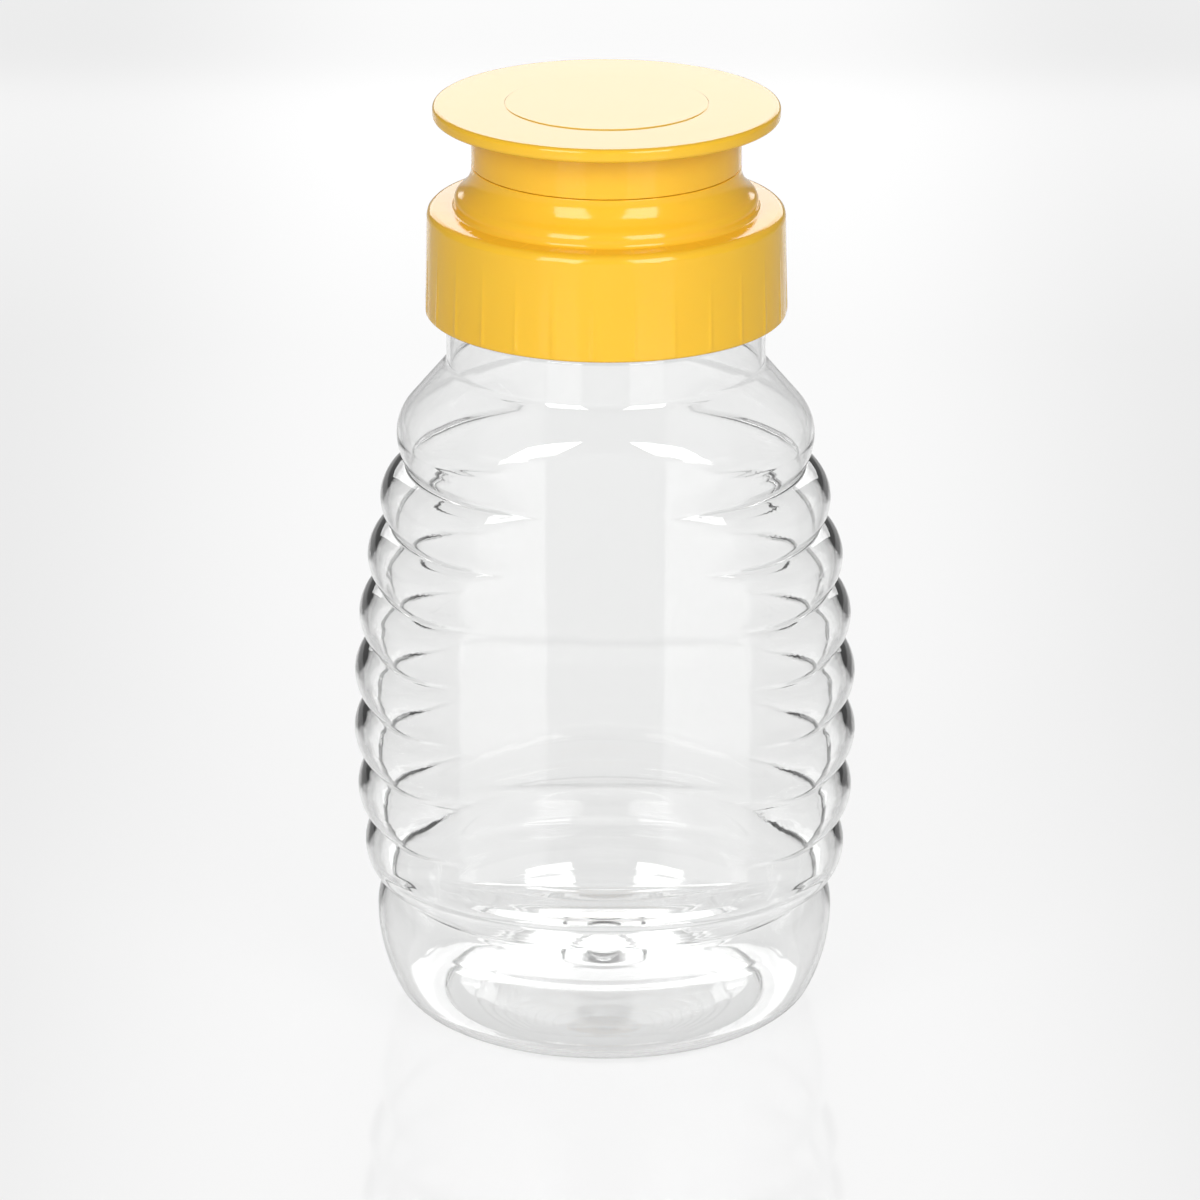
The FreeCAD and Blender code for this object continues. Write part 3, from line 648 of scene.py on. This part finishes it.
lid_section = [(0, ROOF_Z), (PLUG_IN_R, ROOF_Z, 0.2), (PLUG_IN_R, PLUG_LOW_Z, 0.2),
               (PLUG_R, PLUG_LOW_Z, 0.2), (PLUG_R, ROOF_Z, 0.3), (SEAL_R, ROOF_Z, 0.3),
               (SEAL_R, SEAL_LOW_Z, 0.2), (SEAL_OUT_R, SEAL_LOW_Z, 0.3), (SEAL_OUT_R, ROOF_Z, 0.3),
               (LID_NECK_IN, ROOF_Z, 0.3), (LID_NECK_IN, LID_LOW_Z, 0.12),
               (TOWER_TOP_R, LID_LOW_Z, 0.15), (TOWER_TOP_R, DISC_LOW_Z, 0.35),
               (DISC_R, DISC_LOW_Z, 0.6), (DISC_R, LID_TOP_Z, 0.6), (PLATEAU_R, LID_TOP_Z, 0.08),
               (PLATEAU_R - PLATEAU_H, lid_high.z, 0.08), (0, lid_high.z)]
lid_mesh = turned(lid_section, LID_STEPS, segments=4)
pad(lid_mesh, LID_LOW_Z, DISC_LOW_Z)
lid = finished(lid_mesh, "yellow_flip_lid", yellow_plastic, "lid", ["flip_lid"])

# %% [markdown]
# ## Hinge film and straps
# The lid hangs on a thin film, with a bowed strap on either side that snaps it open. They
# are the pieces that bend, so each is cut into many thin slices along its height.

# %% Hinge
WEB_W, WEB_T, WEB_H = 9.0, 0.35, 3.4
STRAP_X, STRAP_W, STRAP_T, STRAP_H, STRAP_BOW = 6.4, 2.0, 0.7, 6.0, 0.8
HINGE_Z, SLICES, BEND_H = SEAT_Z + 0.05, 24, 3.0


def flexing(name, node, x, width, thick, height, bow):
    """A thin upright strip behind the pads, bowed outwards by bow at its middle."""
    bm = bmesh.new()
    size = Matrix.Diagonal((width, thick, height, 1))
    middle = Matrix.Translation((x, PAD_Y + thick / 2, HINGE_Z))
    bmesh.ops.create_cube(bm, size=1, matrix=middle @ size)
    tall = [edge for edge in bm.edges
            if abs(edge.verts[0].co.z - edge.verts[1].co.z) > height / 2]
    bmesh.ops.subdivide_edges(bm, edges=tall, cuts=SLICES - 1, use_grid_fill=True)
    for vert in bm.verts:
        place = (vert.co.z - HINGE_Z) / (height / 2)
        vert.co.y += bow * max(0, math.cos(place * math.pi / 2) - 0.3) / 0.7
    bmesh.ops.recalc_face_normals(bm, faces=bm.faces)
    piece = finished(bm, name, film_plastic, None, [node])
    PAD_Y * MM
    PAD_Y * MM
    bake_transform(piece)


flexing("hinge_film", "hinge_web", 0, WEB_W, WEB_T, WEB_H, 0)
flexing("spring_strap_left", "hinge_strap_left", -STRAP_X, STRAP_W, STRAP_T, STRAP_H,
        STRAP_BOW)
flexing("spring_strap_right", "hinge_strap_right", STRAP_X, STRAP_W, STRAP_T, STRAP_H,
        STRAP_BOW)

# %% [markdown]
# ## Valve, ring and liner
# These three already have their final form in the measured model. Its meshes are loose
# triangles, so a copy is welded first; then only the corners that are truly sharp keep a
# hard edge.

# %% Small parts from the measured model
def welded(node, name, material, body):
    """A welded, smooth copy of a measured solid."""
    bm = bmesh.new()
    bm.from_mesh(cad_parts[node].data)
    bmesh.ops.remove_doubles(bm, verts=bm.verts, dist=0.000002)
    mesh = bpy.data.meshes.new(name)
    bm.to_mesh(mesh)
    bm.free()
    mesh.shade_smooth()
    mesh.set_sharp_from_angle(angle=math.radians(32))
    mesh.materials.clear()
    mesh.materials.append(material)
    piece = bpy.data.objects.new(name, mesh)
    bpy.context.scene.collection.objects.link(piece)
    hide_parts(node)
    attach(piece, body)
    print(name, "points", len(mesh.vertices))


welded("silicone_valve", "slit_valve", silicone, "cap")
welded("valve_retainer", "valve_ring", undyed_plastic, "cap")
welded("seal_liner", "foam_liner", foam, "liner")

# %% [markdown]
# ## Floor and light
# The bottle stands on a glossy white sheet, so pale that it is nearly lost. Part of what
# is seen of it is a painted glow, a painted pool of light: brightest in a middle strip and
# towards the back, it falls off gently to the sides. It is mixed in most for the camera,
# less through the bottle, least in a mirror image. The rest is an ordinary pale surface
# that takes the bottle's shadow and a faint mirror image.

# %% Floor
FLOOR_SIZE = 8.0
GLOW_SEEN, GLOW_THROUGH, GLOW_MIRRORED = 0.8, 0.6, 0.35

floor_material, shader, wire, place = new_material("glossy white sheet")
shader.inputs["Base Color"].default_value = linear(220, 220, 220)
shader.inputs["Roughness"].default_value = 0.07
shader.inputs["IOR"].default_value = 1.5
# Painted pool of light: the floor's glow is brightest in a middle strip and towards the back, and
# greyer to the sides.
split = wire.add("SeparateXYZ", Vector=place)
aside = wire.math("ABSOLUTE", split)
behind = wire.add("MapRange", Value=Wire(wire.tree, split.socket.node.outputs["Y"]),
                  From_Min=0.32, From_Max=0.64, To_Min=0.0, To_Max=0.16)
painted_glow_tone = behind + wire.add("MapRange", {"interpolation_type": "SMOOTHSTEP"}, Value=aside,
                              From_Min=0.04, From_Max=0.12, To_Min=0.97, To_Max=0.82)
tone = wire.add("CombineColor", Red=painted_glow_tone, Green=painted_glow_tone, Blue=painted_glow_tone)
glow = wire.add("Emission", Color=tone, Strength=1.0)
seen = wire.add("LightPath")
rays = seen.socket.node.outputs
camera_ray = Wire(wire.tree, rays["Is Camera Ray"])
through_ray = Wire(wire.tree, rays["Is Transmission Ray"])
mirror_ray = wire.math("MAXIMUM", Wire(wire.tree, rays["Is Glossy Ray"]) - through_ray, 0.0)
share = camera_ray * GLOW_SEEN + through_ray * GLOW_THROUGH + mirror_ray * GLOW_MIRRORED
surface = Wire(wire.tree, shader.outputs[0])
mixed = wire.add("MixShader", at0=share, at1=surface, at2=glow)
plug(wire, mixed, wire.tree.nodes["Material Output"].inputs["Surface"])

bm = bmesh.new()
bmesh.ops.create_grid(bm, x_segments=1, y_segments=1, size=FLOOR_SIZE / 2)
floor_mesh = bpy.data.meshes.new("floor")
bm.to_mesh(floor_mesh)
bm.free()
floor_mesh.materials.append(floor_material)
floor = bpy.data.objects.new("floor", floor_mesh)
bpy.context.scene.collection.objects.link(floor)

# %% [markdown]
# ## Lights and room
# Two soft boxes stand in front, left and right: they draw the upright bands on the bottle
# and the soft glints on the bell. A broad panel behind, out of frame, is what the top of
# the disc mirrors. The room is a quiet grey where it lights the object or shows in its
# gloss, and pale where it is seen straight or through the bottle.

# %% Lights and room
def soft_box(name, azimuth, elevation, distance, width, height, radiance):
    """A panel that faces the cap; radiance is how bright it looks."""
    lamp = bpy.data.lights.new(name, "AREA")
    lamp.shape = "RECTANGLE"
    lamp.size, lamp.size_y = width, height
    lamp.energy = radiance * math.pi * width * height
    a, e = math.radians(azimuth), math.radians(elevation)
    aim = Vector((0, 0, 0.08))
    back = Vector((math.sin(a) * math.cos(e), -math.cos(a) * math.cos(e), math.sin(e)))
    holder = bpy.data.objects.new(name, lamp)
    holder.location = aim + back * distance
    holder.rotation_euler = back.to_track_quat("Z", "Y").to_euler()
    bpy.context.scene.collection.objects.link(holder)


soft_box("left soft box", -30, 24, 1.2, 0.55, 0.76, 5.3)
soft_box("right soft box", 30, 24, 1.2, 0.55, 0.76, 5.3)
soft_box("back panel", 180, 20, 1.6, 1.6, 0.7, 2.4)

ROOM_GREY, ROOM_WHITE = 0.25, 0.9

world = bpy.data.worlds.new("pale room")
world.use_nodes = True
wire = Wire(world.node_tree)
seen = wire.add("LightPath").socket.node.outputs
pale = wire.math("MAXIMUM", Wire(wire.tree, seen["Is Camera Ray"]),
                 Wire(wire.tree, seen["Is Transmission Ray"]))
room = ROOM_GREY + (ROOM_WHITE - ROOM_GREY) * pale
plug(wire, room, world.node_tree.nodes["Background"].inputs["Strength"])
world.node_tree.nodes["Background"].inputs["Color"].default_value = (1, 1, 1, 1)
bpy.context.scene.world = world
bpy.context.scene.view_settings.view_transform = "Standard"

# %% [markdown]
# ## Camera
# A long lens looks down on the bottle at about nineteen degrees. The tiny turn and tilt
# put the bottle a hair right of centre and leaning as it does in the picture.

# %% Camera
CAMERA_PLACE = (0, -0.945, 0.393)
LENS, SENSOR = 207.2, 36.0
LOOK_DOWN, TURN, TILT = math.radians(19.37), math.radians(0.0456), math.radians(0.15)

camera_data = bpy.data.cameras.new("camera")
camera_data.lens, camera_data.sensor_width = LENS, SENSOR
camera = bpy.data.objects.new("camera", camera_data)
aim = Matrix.Rotation(TURN, 4, "Z") @ Matrix.Rotation(math.pi / 2 - LOOK_DOWN, 4, "X")
camera.matrix_world = Matrix.Translation(CAMERA_PLACE) @ aim @ Matrix.Rotation(TILT, 4, "Z")
bpy.context.scene.collection.objects.link(camera)
bpy.context.scene.camera = camera
